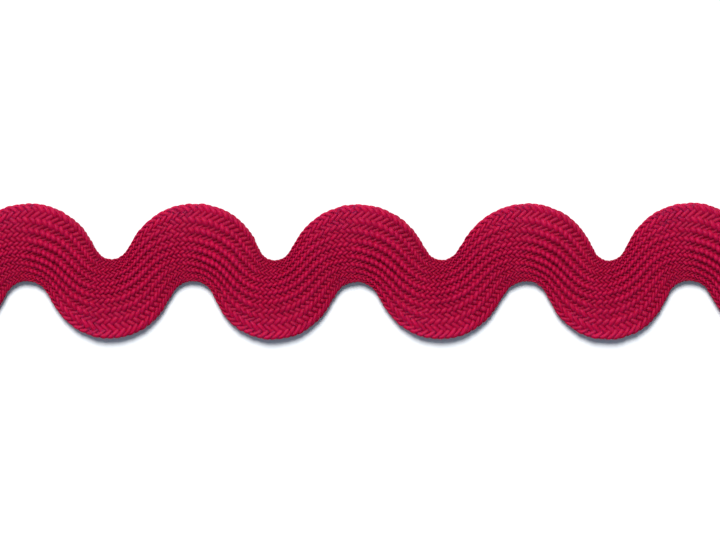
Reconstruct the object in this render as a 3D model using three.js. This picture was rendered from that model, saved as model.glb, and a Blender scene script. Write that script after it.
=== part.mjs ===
import * as THREE from 'three';

// A cut length of ric rac, the flat plaited braid that waves from side to side, lying flat.
// Millimetres. X runs along the braid, Y across it, Z up from the surface that it lies on.

// Driving sizes
const waves = 5;
const pitch = 19.64;
const overallWidth = 16;
const thickness = 1.3;
const ribs = 9;
const ribDepth = 0.22;
const stepsPerWave = 28;

// The two wavy edges are arcs joined by straight flanks. hollow is the radius of the notch
// between two bulges, depth the height of a bulge over its notches, side the side of the braid,
// and shift how far that edge lies along X from an even wave.
const flankAngle = THREE.MathUtils.degToRad(60);
const farEdge = { side: 1, hollow: 2.0, depth: 6.66, shift: 0.1 };
const nearEdge = { side: -1, hollow: 2.7, depth: 6.84, shift: -0.1 };

// The plait is drawn out round a bulge and packed together in a notch. stretch is how much
// longer its steps are at the top of a bulge, and evenness flattens that rise.
const stretch = 0.5;
const evenness = 0.07;

// The ribs crowd towards the notch side by this share, a little after the crest itself.
const crowding = 0.52;
const crowdingLag = 0.086;

// The section across the braid: a rounded side and a flat underside.
const sideHeight = 0.5;
const undersideInset = 0.03;
const edgeDrop = 0.12;

// How uneven the hand of the machine left it, a row for each half wave from the left end:
// how far that bulge lies along X and across Y from an even wave.
const drift = [
  { along: 0, across: 0 },
  { along: 0, across: 0 },
  { along: 0, across: 0.09 },
  { along: 0.05, across: 0 },
  { along: -0.31, across: -0.03 },
  { along: -0.23, across: -0.1 },
  { along: -0.14, across: 0 },
  { along: 0.24, across: 0 },
  { along: 0.07, across: -0.05 },
  { along: -0.1, across: 0.08 },
  { along: 0, across: 0 },
];

const fullTurn = 2 * Math.PI;

// Radii and arc lengths of one edge over half a wave, from the top of a bulge to the notch.
function measureEdge(edge) {
  const sine = Math.sin(flankAngle);
  const cosine = Math.cos(flankAngle);
  const slope = Math.tan(flankAngle);
  const bothRadii = (slope * pitch / 2 - edge.depth) / (slope * sine - 1 + cosine);
  const bulge = bothRadii - edge.hollow;
  const flank = (pitch / 2 - bothRadii * sine) / cosine;
  const bulgeArc = bulge * flankAngle;
  const hollowArc = edge.hollow * flankAngle;
  return { ...edge, bulge, flank, bulgeArc, hollowArc, half: bulgeArc + flank + hollowArc };
}

// The point of an edge at a length walked from the top of a bulge. fall is measured down from
// that top.
function walkEdge(edge, length) {
  const halves = Math.floor(length / edge.half);
  const backward = Math.abs(halves % 2) === 1;
  const rest = length - halves * edge.half;
  const walked = backward ? edge.half - rest : rest;
  let run;
  let fall;
  if (walked < edge.bulgeArc) {
    run = edge.bulge * Math.sin(walked / edge.bulge);
    fall = edge.bulge * (1 - Math.cos(walked / edge.bulge));
  } else if (walked < edge.bulgeArc + edge.flank) {
    const down = walked - edge.bulgeArc;
    run = edge.bulge * Math.sin(flankAngle) + down * Math.cos(flankAngle);
    fall = edge.bulge * (1 - Math.cos(flankAngle)) + down * Math.sin(flankAngle);
  } else {
    const left = (edge.half - walked) / edge.hollow;
    run = pitch / 2 - edge.hollow * Math.sin(left);
    fall = edge.depth - edge.hollow * (1 - Math.cos(left));
  }
  if (backward) run = pitch - run;
  return { x: run + Math.floor(halves / 2) * pitch, fall };
}

// The point of an edge at a station, counted in waves from the far edge's middle bulge. The near
// edge bulges half a wave later.
function edgePoint(edge, station) {
  const own = edge.side > 0 ? station : station - 0.5;
  const drawnOut = stretch * Math.sin(fullTurn * own) / fullTurn;
  const flattened = evenness * Math.sin(3 * fullTurn * own) / (3 * fullTurn);
  const point = walkEdge(edge, 2 * edge.half * (own + drawnOut - flattened));
  const late = edge.side > 0 ? 0 : pitch / 2;
  return {
    x: point.x + late + edge.shift,
    y: edge.side * (overallWidth / 2 - point.fall),
  };
}

// The drift at a station, eased from one bulge to the next.
function driftAt(station) {
  const place = THREE.MathUtils.clamp(2 * station + waves, 0, 2 * waves);
  const row = Math.min(Math.floor(place), 2 * waves - 1);
  const ease = THREE.MathUtils.smoothstep(place - row, 0, 1);
  return {
    x: THREE.MathUtils.lerp(drift[row].along, drift[row + 1].along, ease),
    y: THREE.MathUtils.lerp(drift[row].across, drift[row + 1].across, ease),
  };
}

// The section as shares across the braid and heights, from the far underside corner over the
// ribs to the near one. The outermost ribs sit a little lower, as the braid rounds off.
function sectionRows() {
  const rows = [{ share: undersideInset, z: 0 }, { share: 0, z: sideHeight }];
  for (let rib = 0; rib < ribs; rib += 1) {
    const outer = rib === 0 || rib === ribs - 1;
    if (rib > 0) rows.push({ share: rib / ribs, z: thickness - ribDepth });
    rows.push({ share: (rib + 0.5) / ribs, z: thickness - (outer ? edgeDrop : 0) });
  }
  rows.push({ share: 1, z: sideHeight }, { share: 1 - undersideInset, z: 0 });
  return rows;
}

// One closed solid: a section at every station, joined to the next, and a plain cut at each end.
function braidGeometry() {
  const far = measureEdge(farEdge);
  const near = measureEdge(nearEdge);
  const rows = sectionRows();
  const steps = waves * stepsPerWave;
  const points = [];
  for (let step = 0; step <= steps; step += 1) {
    const station = (step / steps - 0.5) * waves;
    const from = edgePoint(far, station);
    const to = edgePoint(near, station);
    const off = driftAt(station);
    const lean = crowding * Math.cos(fullTurn * (station - crowdingLag));
    for (const { share, z } of rows) {
      const across = share + lean * share * (1 - share);
      points.push(
        THREE.MathUtils.lerp(from.x, to.x, across) + off.x,
        THREE.MathUtils.lerp(from.y, to.y, across) + off.y,
        z,
      );
    }
  }

  const faces = [];
  const count = rows.length;
  for (let step = 0; step < steps; step += 1) {
    for (let row = 0; row < count; row += 1) {
      const a = step * count + row;
      const b = step * count + (row + 1) % count;
      faces.push(a, b, b + count, a, b + count, a + count);
    }
  }
  const endOutline = (start) => rows.map((row, i) => new THREE.Vector2(
    points[3 * (start + i) + 1],
    points[3 * (start + i) + 2],
  ));
  const lastSection = steps * count;
  for (const [a, b, c] of THREE.ShapeUtils.triangulateShape(endOutline(0), [])) {
    faces.push(a, c, b);
  }
  for (const [a, b, c] of THREE.ShapeUtils.triangulateShape(endOutline(lastSection), [])) {
    faces.push(lastSection + a, lastSection + b, lastSection + c);
  }

  const geometry = new THREE.BufferGeometry();
  geometry.setAttribute('position', new THREE.Float32BufferAttribute(points, 3));
  geometry.setIndex(faces);
  geometry.computeVertexNormals();
  return geometry;
}

const crimsonYarn = new THREE.MeshStandardMaterial({ color: 0x9c1034, roughness: 0.85, metalness: 0 });

const braid = new THREE.Mesh(braidGeometry(), crimsonYarn);
braid.name = 'ric_rac_braid';

const part = new THREE.Group();
part.add(braid);

export default part;
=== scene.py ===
import functools
import math

import bmesh
import bpy
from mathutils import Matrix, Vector, noise


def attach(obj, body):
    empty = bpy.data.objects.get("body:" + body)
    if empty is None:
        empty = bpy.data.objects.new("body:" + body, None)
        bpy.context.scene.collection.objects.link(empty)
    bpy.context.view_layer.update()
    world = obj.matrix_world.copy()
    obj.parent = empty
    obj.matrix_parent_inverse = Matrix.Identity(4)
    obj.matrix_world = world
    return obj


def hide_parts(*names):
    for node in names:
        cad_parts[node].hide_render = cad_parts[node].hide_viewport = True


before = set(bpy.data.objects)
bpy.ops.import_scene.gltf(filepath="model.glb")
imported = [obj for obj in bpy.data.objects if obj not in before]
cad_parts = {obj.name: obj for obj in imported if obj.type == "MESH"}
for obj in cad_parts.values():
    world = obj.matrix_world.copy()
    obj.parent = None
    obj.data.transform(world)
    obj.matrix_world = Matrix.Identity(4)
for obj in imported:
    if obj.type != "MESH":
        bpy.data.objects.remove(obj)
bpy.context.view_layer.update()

# The setting
# The braid lies on a plain white surface and is seen from straight above. One broad lamp stands
# beyond its far edge and a little to the left, so a soft shadow shows along its near edge.
MM = 0.001
FLOOR_HALF = 400 * MM
FLOOR_WHITE = (0.9, 0.9, 0.9)
FLOOR_ROUGHNESS = 0.9
VIEW_ACROSS = 85.33 * MM
VIEW_CENTRE = (0.07 * MM, 0.16 * MM)
LENS_MM = 135
SENSOR_MM = 36
NEAREST_SEEN = 10 * MM
EDGE_LEVEL = 0.7 * MM
LAMP_DISTANCE = 1200 * MM
LAMP_SIZE = 680 * MM
LAMP_AZIMUTH = math.radians(101)
LAMP_HEIGHT = math.radians(53)
LAMP_POWER = 20.4
SKY_STRENGTH = 0.3
SKY_COLOUR = (0.55, 0.77, 1.0, 1)


def plain_material(name, colour, roughness):
    material = bpy.data.materials.new(name)
    material.use_nodes = True
    surface = material.node_tree.nodes["Principled BSDF"]
    surface.inputs["Base Color"].default_value = (*colour, 1)
    surface.inputs["Roughness"].default_value = roughness
    return material


def add_floor():
    bm = bmesh.new()
    bmesh.ops.create_grid(bm, x_segments=1, y_segments=1, size=FLOOR_HALF)
    mesh = bpy.data.meshes.new("floor")
    bm.to_mesh(mesh)
    bm.free()
    floor = bpy.data.objects.new("floor", mesh)
    bpy.context.scene.collection.objects.link(floor)
    floor.data.materials.append(plain_material("white_surface", FLOOR_WHITE, FLOOR_ROUGHNESS))


def add_camera():
    """A camera straight above, whose view is as wide as it should be at the level of the edges."""
    camera = bpy.data.cameras.new("camera")
    camera.lens = LENS_MM
    camera.sensor_width = SENSOR_MM
    camera.clip_start = NEAREST_SEEN
    eye = bpy.data.objects.new("camera", camera)
    height = EDGE_LEVEL + VIEW_ACROSS * LENS_MM / SENSOR_MM
    eye.location = (*VIEW_CENTRE, height)
    bpy.context.scene.collection.objects.link(eye)
    bpy.context.scene.camera = eye


def add_light():
    """The round lamp, and a pale blue sky that fills in its shadow."""
    lamp = bpy.data.lights.new("lamp", "AREA")
    lamp.shape = "DISK"
    lamp.size = LAMP_SIZE
    lamp.energy = LAMP_POWER
    holder = bpy.data.objects.new("lamp", lamp)
    towards = Vector((
        math.cos(LAMP_AZIMUTH) * math.cos(LAMP_HEIGHT),
        math.sin(LAMP_AZIMUTH) * math.cos(LAMP_HEIGHT),
        math.sin(LAMP_HEIGHT),
    ))
    holder.location = towards * LAMP_DISTANCE
    holder.rotation_euler = towards.to_track_quat("Z", "Y").to_euler()
    bpy.context.scene.collection.objects.link(holder)

    world = bpy.data.worlds.new("sky")
    world.use_nodes = True
    world.node_tree.nodes["Background"].inputs["Color"].default_value = SKY_COLOUR
    world.node_tree.nodes["Background"].inputs["Strength"].default_value = SKY_STRENGTH
    bpy.context.scene.world = world
    bpy.context.scene.view_settings.view_transform = "Standard"


add_floor()
add_camera()
add_light()

# The waves of the braid
# Ric rac is plaited flat from many yarns, some pulled tighter than others by turns, so that it
# waves from side to side. Each edge is a row of round bulges and notches joined by short flanks.
WAVES = 5
PITCH = 19.64 * MM
OVERALL_WIDTH = 16 * MM
FLANK_ANGLE = math.radians(60)
TURN = 2 * math.pi

# Each edge has the radius of its notches, its depth from bulge to notch, how far it lies from an
# even wave along X, and how far it rises from the braid's middle layer.
FAR_EDGE = {
    "side": 1,
    "hollow": 2.0 * MM,
    "depth": 6.66 * MM,
    "shift": 0.1 * MM,
    "lift_on_bulges": -0.3 * MM,
    "lift_in_notches": -0.12 * MM,
}
NEAR_EDGE = {
    "side": -1,
    "hollow": 2.7 * MM,
    "depth": 6.84 * MM,
    "shift": -0.1 * MM,
    "lift_on_bulges": 0.34 * MM,
    "lift_in_notches": 0.08 * MM,
}

# The plait is drawn out round a bulge and packed together in a notch, by the stretch, and the
# evenness spreads that over more of each. Its ribs crowd towards the notch side, most a little to
# the right of the notch itself.
STRETCH = 0.5
EVENNESS = 0.07
CROWDING = 0.52
CROWDING_LAG = 0.086

# How far each bulge lies along X and across Y from an even wave, by half waves from the left.
DRIFT = [
    {"along": 0, "across": 0},
    {"along": 0, "across": 0},
    {"along": 0, "across": 0.09 * MM},
    {"along": 0.05 * MM, "across": 0},
    {"along": -0.31 * MM, "across": -0.03 * MM},
    {"along": -0.23 * MM, "across": -0.1 * MM},
    {"along": -0.14 * MM, "across": 0},
    {"along": 0.24 * MM, "across": 0},
    {"along": 0.07 * MM, "across": -0.05 * MM},
    {"along": -0.1 * MM, "across": 0.08 * MM},
    {"along": 0, "across": 0},
]


def measured(edge):
    """An edge with its bulge radius and arc lengths, from the top of a bulge to a notch."""
    sine = math.sin(FLANK_ANGLE)
    cosine = math.cos(FLANK_ANGLE)
    slope = math.tan(FLANK_ANGLE)
    both_radii = (slope * PITCH / 2 - edge["depth"]) / (slope * sine - 1 + cosine)
    bulge = both_radii - edge["hollow"]
    bulge_arc = bulge * FLANK_ANGLE
    flank = (PITCH / 2 - both_radii * sine) / cosine
    half = bulge_arc + flank + edge["hollow"] * FLANK_ANGLE
    return {**edge, "bulge": bulge, "bulge_arc": bulge_arc, "flank": flank, "half": half}


def walk_edge(edge, length):
    """How far along and how far below a bulge's top an edge is, after a length walked on it."""
    halves = math.floor(length / edge["half"])
    backward = halves % 2 == 1
    rest = length - halves * edge["half"]
    walked = edge["half"] - rest if backward else rest
    bulge = edge["bulge"]
    past_bulge = walked - edge["bulge_arc"]
    if past_bulge < 0:
        run = bulge * math.sin(walked / bulge)
        fall = bulge * (1 - math.cos(walked / bulge))
    elif past_bulge < edge["flank"]:
        run = bulge * math.sin(FLANK_ANGLE) + past_bulge * math.cos(FLANK_ANGLE)
        fall = bulge * (1 - math.cos(FLANK_ANGLE)) + past_bulge * math.sin(FLANK_ANGLE)
    else:
        angle_left = (edge["half"] - walked) / edge["hollow"]
        run = PITCH / 2 - edge["hollow"] * math.sin(angle_left)
        fall = edge["depth"] - edge["hollow"] * (1 - math.cos(angle_left))
    if backward:
        run = PITCH - run
    return run + (halves // 2) * PITCH, fall


def edge_point(edge, station):
    """The point of an edge at a station, counted in waves from the far edge's middle bulge."""
    far = edge["side"] > 0
    own = station if far else station - 0.5
    drawn_out = STRETCH * math.sin(TURN * own) / TURN
    evened = EVENNESS * math.sin(3 * TURN * own) / (3 * TURN)
    run, fall = walk_edge(edge, 2 * edge["half"] * (own + drawn_out - evened))
    late = 0 if far else PITCH / 2
    return Vector((run + late + edge["shift"], edge["side"] * (OVERALL_WIDTH / 2 - fall), 0))


def drift_at(station):
    """How uneven the wave is at a station, eased from one bulge to the next."""
    place = min(max(2 * station + WAVES, 0), 2 * WAVES)
    row = min(int(place), 2 * WAVES - 1)
    part = place - row
    ease = part * part * (3 - 2 * part)
    before, after = DRIFT[row], DRIFT[row + 1]
    return Vector((
        before["along"] + ease * (after["along"] - before["along"]),
        before["across"] + ease * (after["across"] - before["across"]),
        0,
    ))


def spread(share, station):
    """Where a rib lies across the braid: the ribs crowd towards the notch side."""
    lean = CROWDING * math.cos(TURN * (station - CROWDING_LAG))
    return share + lean * share * (1 - share)


# The core of the braid
# The yarns cross between its two faces and press together there. A thin sheet along that middle
# layer closes the chinks between them.
THICKNESS = 1.3 * MM
LIFT_ON_FLANKS = -0.07 * MM
LIFT_FADES_OVER = 0.08
CORE_THICKNESS = 0.24 * MM
CORE_INSET = 0.04
CORE_STEPS_PER_WAVE = 40
CORE_ROWS = 18
# The core's reds are painted shade: darker than the yarns, as it shows only down between them.
SHADED_CORE_DARK_RED = (0.16, 0.0008, 0.012, 1)
SHADED_CORE_RED = (0.26, 0.001, 0.020, 1)
CORE_ROUGHNESS = 0.9
CORE_GLOSS = 0.1
CORE_GRAIN_PER_METRE = 2500
CORE_GRAIN_STRENGTH = 0.3
CORE_GRAIN_DEPTH = 0.03 * MM

far_edge, near_edge = measured(FAR_EDGE), measured(NEAR_EDGE)


def braid_point(share, station):
    """The point of the braid's middle layer at a share of its width and a station.

    Its far edge rounds off downwards and its near one curls up, each most on its bulges. On the
    flanks both lie a little low.
    """
    start, end = edge_point(far_edge, station), edge_point(near_edge, station)
    point = start.lerp(end, spread(share, station)) + drift_at(station)
    edge = far_edge if share < 0.5 else near_edge
    bulging = edge["side"] * math.cos(TURN * station)
    lift = edge["lift_on_bulges"] if bulging > 0 else edge["lift_in_notches"]
    lift += (LIFT_ON_FLANKS - lift) * (1 - bulging ** 2)
    point.z = THICKNESS / 2 + lift * math.exp(-min(share, 1 - share) / LIFT_FADES_OVER)
    return point


def finished(bm, name, material):
    """A bmesh made a shown piece of the braid, in the place of its solid."""
    bmesh.ops.recalc_face_normals(bm, faces=bm.faces)
    mesh = bpy.data.meshes.new(name)
    bm.to_mesh(mesh)
    bm.free()
    piece = bpy.data.objects.new(name, mesh)
    bpy.context.scene.collection.objects.link(piece)
    piece.data.materials.append(material)
    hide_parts("ric_rac_braid")
    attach(piece, "root")
    return piece


def core_material():
    """Deep crimson, painted darker than the yarns as shade down between them, uneven as pressed yarn
    is.
    """
    material = plain_material("crimson_core", SHADED_CORE_RED[:3], CORE_ROUGHNESS)
    nodes, links = material.node_tree.nodes, material.node_tree.links
    surface = nodes["Principled BSDF"]
    surface.inputs["Specular IOR Level"].default_value = CORE_GLOSS
    place = nodes.new("ShaderNodeTexCoord")
    grain = nodes.new("ShaderNodeTexNoise")
    grain.inputs["Scale"].default_value = CORE_GRAIN_PER_METRE
    links.new(place.outputs["Object"], grain.inputs["Vector"])
    ramp = nodes.new("ShaderNodeValToRGB")
    ramp.color_ramp.elements[0].color = SHADED_CORE_DARK_RED
    ramp.color_ramp.elements[1].color = SHADED_CORE_RED
    links.new(grain.outputs["Fac"], ramp.inputs["Fac"])
    links.new(ramp.outputs["Color"], surface.inputs["Base Color"])
    bump = nodes.new("ShaderNodeBump")
    bump.inputs["Strength"].default_value = CORE_GRAIN_STRENGTH
    bump.inputs["Distance"].default_value = CORE_GRAIN_DEPTH
    links.new(grain.outputs["Fac"], bump.inputs["Height"])
    links.new(bump.outputs["Normal"], surface.inputs["Normal"])
    return material


def add_core():
    """A unit grid laid along the braid's middle layer, then given its thickness."""
    steps = WAVES * CORE_STEPS_PER_WAVE
    bm = bmesh.new()
    bmesh.ops.create_grid(bm, x_segments=steps, y_segments=CORE_ROWS, size=0.5)
    for vert in bm.verts:
        station = vert.co.x * WAVES * (1 - CORE_INSET / WAVES)
        share = 0.5 + vert.co.y * (1 - 2 * CORE_INSET)
        vert.co = braid_point(share, station)
        vert.co.z -= CORE_THICKNESS / 2
    sheet = bmesh.ops.extrude_face_region(bm, geom=bm.faces[:])
    raised = [part for part in sheet["geom"] if isinstance(part, bmesh.types.BMVert)]
    bmesh.ops.translate(bm, verts=raised, vec=(0, 0, CORE_THICKNESS))
    return finished(bm, "braid_core", core_material())


core = add_core()

# The yarns
# Thirty-seven yarns run from edge to edge and back, over two and under two of those that run the
# other way. Slack yarns turn at the bulges and taut ones in the notches. On the slopes between
# them the slack ones stand proud as cords, and the taut ones sink into the grooves.
YARNS = 37
YARNS_PER_PIECE = 10
CUT_AT = WAVES * PITCH / 2

# A pick is one step of the plait, in which each yarn passes two others, so a wave has as many
# picks as the braid has yarns. An edge takes more of them round a bulge and fewer in a notch.
CROSSINGS_PER_PICK = 2
CROSSINGS_PER_FLOAT = 2
FIRST_FLOAT_AT = 1.5
TIGHTENING = 7
TIGHTEST_AT = 0.08
SLACKEST_AT = -0.06
EVENS_OUT_OVER = 0.25
ROUNDS_TO_SETTLE = 8

# How a yarn turns back at an edge, in crossings.
TURN_RADIUS = 1.9
TURN_OUTWARD = 1.42
TURN_REACH = 3
SLANTS_AFTER = 2

# How wide and deep a yarn is, as shares of the room that it has and of its half depth.
YARN_HALF_DEPTH = 0.26 * MM
EVEN_SPACING = 0.5 * MM
TAUT_WIDTH = 0.95
WIDER_WHEN_SLACK = 0.35
FULLER = 0.3
THINNER_AT_TURNS = 0.3
THINNER_REACH = 2
TAUT_DEPTH = 0.75
DEEPER_WHEN_SLACK = 0.25
DEEPER_WHEN_CROWDED = 0.3
DEEPEST = 1.2
THICK_AND_THIN = 0.22
PRESSED = 0.6

# How far a yarn rises over the others, and wanders.
RISE = 0.16 * MM
PROUDER = 0.2 * MM
SUNK = 0.23 * MM
PULL_WHERE_CLIMBING = 0.38
PULL_FLATNESS = 0.7
FLOAT_FLATNESS = 0.65
FLATTER_WHERE_EVEN = 0.7
WANDER = 0.07 * MM

# How much lighter a yarn looks towards a bulge's edge, and how much of its painted groove shade is
# lifted there.
LIGHTER_ON_BULGES = 1.15
LIGHTER_REACH = 6
LESS_PAINTED_SHADE_ON_BULGES = 0.25

# Each noise by its rate along a yarn, the distance from one yarn to the next, and its own level.
# The wander's also depends on a seed, which is set so that the yarns lie the same each time.
THICKNESS_NOISE = (0.7, 3.7, 9.5)
WANDER_NOISE = (0.9, 7.3, 0.5)
SHADE_NOISE = (1, 5.1, 4.5)
WANDER_SEED = 1
noise.seed_set(WANDER_SEED)

# Each yarn's mesh, and how its finish is laid on it.
SIDES = 8
RINGS_PER_PICK = 6
SPARE_RINGS = 9
SEAM_GAP = 1e-8
TURNS_PER_PICK = 0.25
UV_PER_TURN = 2


def crookedness(share, station):
    """How many picks a place is ahead of an even plait, with none at the cut ends."""
    ends = min(1, (WAVES / 2 - abs(station)) / EVENS_OUT_OVER)
    ahead = TIGHTENING / math.pi * (0.5 - share) * math.sin(TURN * (station - TIGHTEST_AT))
    return max(0, ends) * ahead


@functools.lru_cache(maxsize=None)
def pick_place(pick, crossing):
    """The point at a pick of the plait, counted from its left end, and a crossing across it."""
    share = crossing / YARNS
    even = pick / YARNS - WAVES / 2
    station = even
    for _ in range(ROUNDS_TO_SETTLE):
        station = even - crookedness(share, station) / YARNS
    return braid_point(share, station)


def slackness(turned_at):
    """From 0 to 1 for a yarn that turns at the far edge at this pick."""
    return 0.5 + 0.5 * math.cos(TURN * (turned_at / YARNS - WAVES / 2 - SLACKEST_AT))


def flattened(reach, power):
    """A reach from -1 to 1 drawn out towards its ends, as yarns are that press on each other."""
    return math.copysign(abs(reach) ** power, reach)


def over_and_under(from_edge):
    """From 1 over to -1 under, for a yarn that has come this many crossings from its turn."""
    if from_edge < 1:
        return math.sin(math.pi / (2 * CROSSINGS_PER_FLOAT) * from_edge)
    floated = math.cos(math.pi / CROSSINGS_PER_FLOAT * (from_edge - FIRST_FLOAT_AT))
    return flattened(floated, FLOAT_FLATNESS)


def noise_spot(pattern, pick, yarn):
    """Where a noise is read for a yarn at a pick."""
    rate, apart, level = pattern
    return Vector((rate * pick, apart * yarn, level))


def yarn_ring(yarn, ring):
    """A yarn at a ring: its middle, half width and half depth, the level of the braid's middle
    layer there, and how much lighter the yarn looks."""
    pick = ring / RINGS_PER_PICK
    run = (CROSSINGS_PER_PICK * (pick - yarn)) % (2 * YARNS)
    down = run < YARNS
    crossing = run if down else 2 * YARNS - run
    from_edge = min(crossing, YARNS - crossing)
    leaving = 1 if down == (crossing < YARNS / 2) else -1

    inset = math.hypot(from_edge, TURN_RADIUS)
    inset -= TURN_OUTWARD * math.exp(-((from_edge / TURN_REACH) ** 2))
    middle = pick_place(pick, inset if crossing < YARNS / 2 else YARNS - inset).copy()
    along = pick_place(pick + 0.5, crossing) - pick_place(pick - 0.5, crossing)
    low, high = max(0, crossing - 1), min(YARNS, crossing + 1)
    across = pick_place(pick, high) - pick_place(pick, low)
    across *= CROSSINGS_PER_PICK / (high - low)
    way = min(1, from_edge / SLANTS_AFTER) * (1 if down else -1)
    length = math.sqrt(
        along.length_squared + across.length_squared + 2 * way * along.dot(across)
    )
    spacing = along.cross(across).length / length

    slack, crossed = slackness(yarn), slackness(2 * pick - yarn)
    pull = flattened(slack - crossed, PULL_FLATNESS)
    if (pull > 0) != down:
        pull *= PULL_WHERE_CLIMBING
    both = slack + crossed - 1
    thick = 1 + THICK_AND_THIN * noise.noise(noise_spot(THICKNESS_NOISE, pick, yarn))
    width = TAUT_WIDTH + WIDER_WHEN_SLACK * slack + FULLER * max(0, pull)
    half_width = spacing / 2 * width * thick
    half_width *= 1 - THINNER_AT_TURNS * slack * math.exp(-from_edge / THINNER_REACH)
    crowded = (EVEN_SPACING / spacing) ** DEEPER_WHEN_CROWDED
    depth = TAUT_DEPTH + DEEPER_WHEN_SLACK * slack
    half_depth = YARN_HALF_DEPTH * depth * thick * min(DEEPEST, crowded)

    level = middle.z
    middle += WANDER * noise.noise_vector(noise_spot(WANDER_NOISE, pick, yarn))
    rise = RISE * (1 - FLATTER_WHERE_EVEN * abs(both)) + (PROUDER if pull > 0 else SUNK) * pull
    middle.z = level + rise * leaving * over_and_under(from_edge)
    lighter = LIGHTER_ON_BULGES * max(0, both) * math.exp(-from_edge / LIGHTER_REACH)
    return middle, half_width, half_depth, level, lighter


def add_yarn(bm, yarn):
    """One yarn as a tube wrapped from a grid and closed along its seam."""
    first = -SPARE_RINGS
    rings = WAVES * YARNS * RINGS_PER_PICK + 2 * SPARE_RINGS
    path = [yarn_ring(yarn, first + ring) for ring in range(rings + 1)]
    uv = bm.loops.layers.uv["yarn"]
    shade_painted_by_height = bm.verts.layers.float["shade_painted_by_height"]
    own_shade = bm.verts.layers.float["own_shade"]
    made = bmesh.ops.create_grid(
        bm, x_segments=rings, y_segments=SIDES, size=0.5, calc_uvs=True
    )
    for vert in made["verts"]:
        ring = round((vert.co.x + 0.5) * rings)
        turned = TURN * (vert.co.y + 0.5)
        middle, half_width, half_depth, level, lighter = path[ring]
        way = path[min(rings, ring + 1)][0] - path[max(0, ring - 1)][0]
        side = Vector((-way.y, way.x, 0)).normalized()
        vert.co = middle + side * half_width * flattened(math.cos(turned), PRESSED)
        vert.co.z += half_depth * flattened(math.sin(turned), PRESSED)
        # Painted shade: the nearer a point lies to the braid's middle layer, the darker its colour,
        # less so towards a bulge's edge.
        vert[shade_painted_by_height] = abs(vert.co.z - level) / (THICKNESS / 2) + LESS_PAINTED_SHADE_ON_BULGES * lighter
        vert.co.z = max(0, vert.co.z)
        shade = noise.noise(noise_spot(SHADE_NOISE, ring / RINGS_PER_PICK, yarn))
        vert[own_shade] = lighter + shade
    for face in {face for vert in made["verts"] for face in vert.link_faces}:
        face.smooth = True
        for loop in face.loops:
            loop[uv].uv.x *= UV_PER_TURN * TURNS_PER_PICK * rings / RINGS_PER_PICK
            loop[uv].uv.y *= UV_PER_TURN
    seam = [vert for vert in made["verts"] if vert.is_boundary]
    bmesh.ops.remove_doubles(bm, verts=seam, dist=SEAM_GAP)


def cut_plainly(bm):
    """Both ends cut square across all the yarns, each yarn's end closed flat."""
    for end in (-1, 1):
        bmesh.ops.bisect_plane(
            bm,
            geom=bm.verts[:] + bm.edges[:] + bm.faces[:],
            plane_co=(end * CUT_AT, 0, 0),
            plane_no=(end, 0, 0),
            clear_outer=True,
        )
        rim = [edge for edge in bm.edges if edge.is_boundary]
        for edge in rim:
            edge.smooth = False
        bmesh.ops.holes_fill(bm, edges=rim, sides=0)


# The yarn's finish: a matt crimson with a little sheen, and painted shade darker down between the
# floats, rising to painted light on their crests.
YARN_SURFACE = {
    "Subsurface Weight": 0.8,
    "Subsurface Radius": (1.0, 0.15, 0.3),
    "Subsurface Scale": 0.4 * MM,
    "Diffuse Roughness": 1.0,
    "Roughness": 0.45,
    "Specular IOR Level": 0.3,
    "Specular Tint": (1.0, 0.2, 0.35, 1),
    "Sheen Weight": 0.06,
    "Sheen Roughness": 0.4,
    "Sheen Tint": (1.0, 0.2, 0.35, 1),
}
# Painted shade low in the grooves, through the floats' own red, to painted light on the crests.
SHADED_GROOVE_RED = (0.3, 0.0012, 0.026, 1)
SHADED_GROOVE_AT = 0.35
FLOAT_RED = (0.375, 0.0022, 0.039, 1)
FLOAT_AT = 0.62
LIT_CREST_RED = (0.42, 0.0035, 0.047, 1)
YARN_SHADES = {"From Min": -0.6, "From Max": 1.5, "To Min": 0.9, "To Max": 1.25}

# The yarn is two plies twisted together, and each is of fine fibres. At a scale of one, a wave
# texture turns through ten radians to the unit.
PLIES = {"bands": 2, "strength": 0.35, "depth": 0.04 * MM}
FIBRES = {"bands": 21, "strength": 0.4, "depth": 0.012 * MM}
RIDGE_WAVINESS = 1.2
RIDGE_DETAIL = 2
RADIANS_PER_UNIT = 10
BANDS_TO_SCALE = TURN / (RADIANS_PER_UNIT * UV_PER_TURN)


def twist_bump(nodes, links, place, ridges):
    """Ridges wound round the yarn, a whole number of them, so that they all but meet at its seam."""
    twist = nodes.new("ShaderNodeTexWave")
    twist.wave_type = "BANDS"
    twist.bands_direction = "DIAGONAL"
    twist.inputs["Scale"].default_value = ridges["bands"] * BANDS_TO_SCALE
    twist.inputs["Distortion"].default_value = RIDGE_WAVINESS
    twist.inputs["Detail"].default_value = RIDGE_DETAIL
    links.new(place.outputs["UV"], twist.inputs["Vector"])
    bump = nodes.new("ShaderNodeBump")
    bump.inputs["Strength"].default_value = ridges["strength"]
    bump.inputs["Distance"].default_value = ridges["depth"]
    links.new(twist.outputs["Fac"], bump.inputs["Height"])
    return bump


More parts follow.
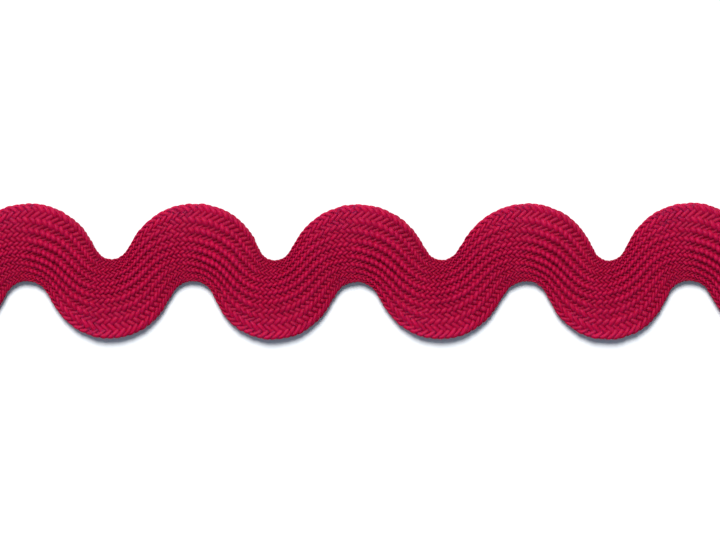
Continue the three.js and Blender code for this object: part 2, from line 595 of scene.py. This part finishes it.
def yarn_material():
    """Crimson with painted shade, darker the lower a point lies on the braid, and each yarn's own
    shade.
    """
    material = bpy.data.materials.new("crimson_yarn")
    material.use_nodes = True
    nodes, links = material.node_tree.nodes, material.node_tree.links
    surface = nodes["Principled BSDF"]
    for socket, value in YARN_SURFACE.items():
        surface.inputs[socket].default_value = value

    shade_painted_by_height = nodes.new("ShaderNodeAttribute")
    shade_painted_by_height.attribute_name = "shade_painted_by_height"
    # Painted shade in the grooves and painted light on the crests, by height.
    ramp = nodes.new("ShaderNodeValToRGB")
    ramp.color_ramp.elements[0].color = SHADED_GROOVE_RED
    ramp.color_ramp.elements[0].position = SHADED_GROOVE_AT
    ramp.color_ramp.elements[1].color = LIT_CREST_RED
    middle = ramp.color_ramp.elements.new(FLOAT_AT)
    middle.color = FLOAT_RED
    links.new(shade_painted_by_height.outputs["Fac"], ramp.inputs["Fac"])
    own_shade = nodes.new("ShaderNodeAttribute")
    own_shade.attribute_name = "own_shade"
    shade_range = nodes.new("ShaderNodeMapRange")
    for socket, value in YARN_SHADES.items():
        shade_range.inputs[socket].default_value = value
    links.new(own_shade.outputs["Fac"], shade_range.inputs["Value"])
    shaded = nodes.new("ShaderNodeVectorMath")
    shaded.operation = "SCALE"
    links.new(ramp.outputs["Color"], shaded.inputs[0])
    links.new(shade_range.outputs["Result"], shaded.inputs["Scale"])
    links.new(shaded.outputs["Vector"], surface.inputs["Base Color"])

    place = nodes.new("ShaderNodeUVMap")
    place.uv_map = "yarn"
    plies = twist_bump(nodes, links, place, PLIES)
    fibres = twist_bump(nodes, links, place, FIBRES)
    links.new(plies.outputs["Normal"], fibres.inputs["Normal"])
    links.new(fibres.outputs["Normal"], surface.inputs["Normal"])
    return material


def add_yarns(name, numbers, material):
    """Some of the yarns as one piece, cut at both ends."""
    bm = bmesh.new()
    bm.loops.layers.uv.new("yarn")
    bm.verts.layers.float.new("shade_painted_by_height")
    bm.verts.layers.float.new("own_shade")
    for yarn in numbers:
        add_yarn(bm, yarn)
    cut_plainly(bm)
    return finished(bm, name, material)


crimson = yarn_material()
yarns = [
    add_yarns(f"yarns_{first + 1}_on", range(first, min(first + YARNS_PER_PIECE, YARNS)), crimson)
    for first in range(0, YARNS, YARNS_PER_PIECE)
]
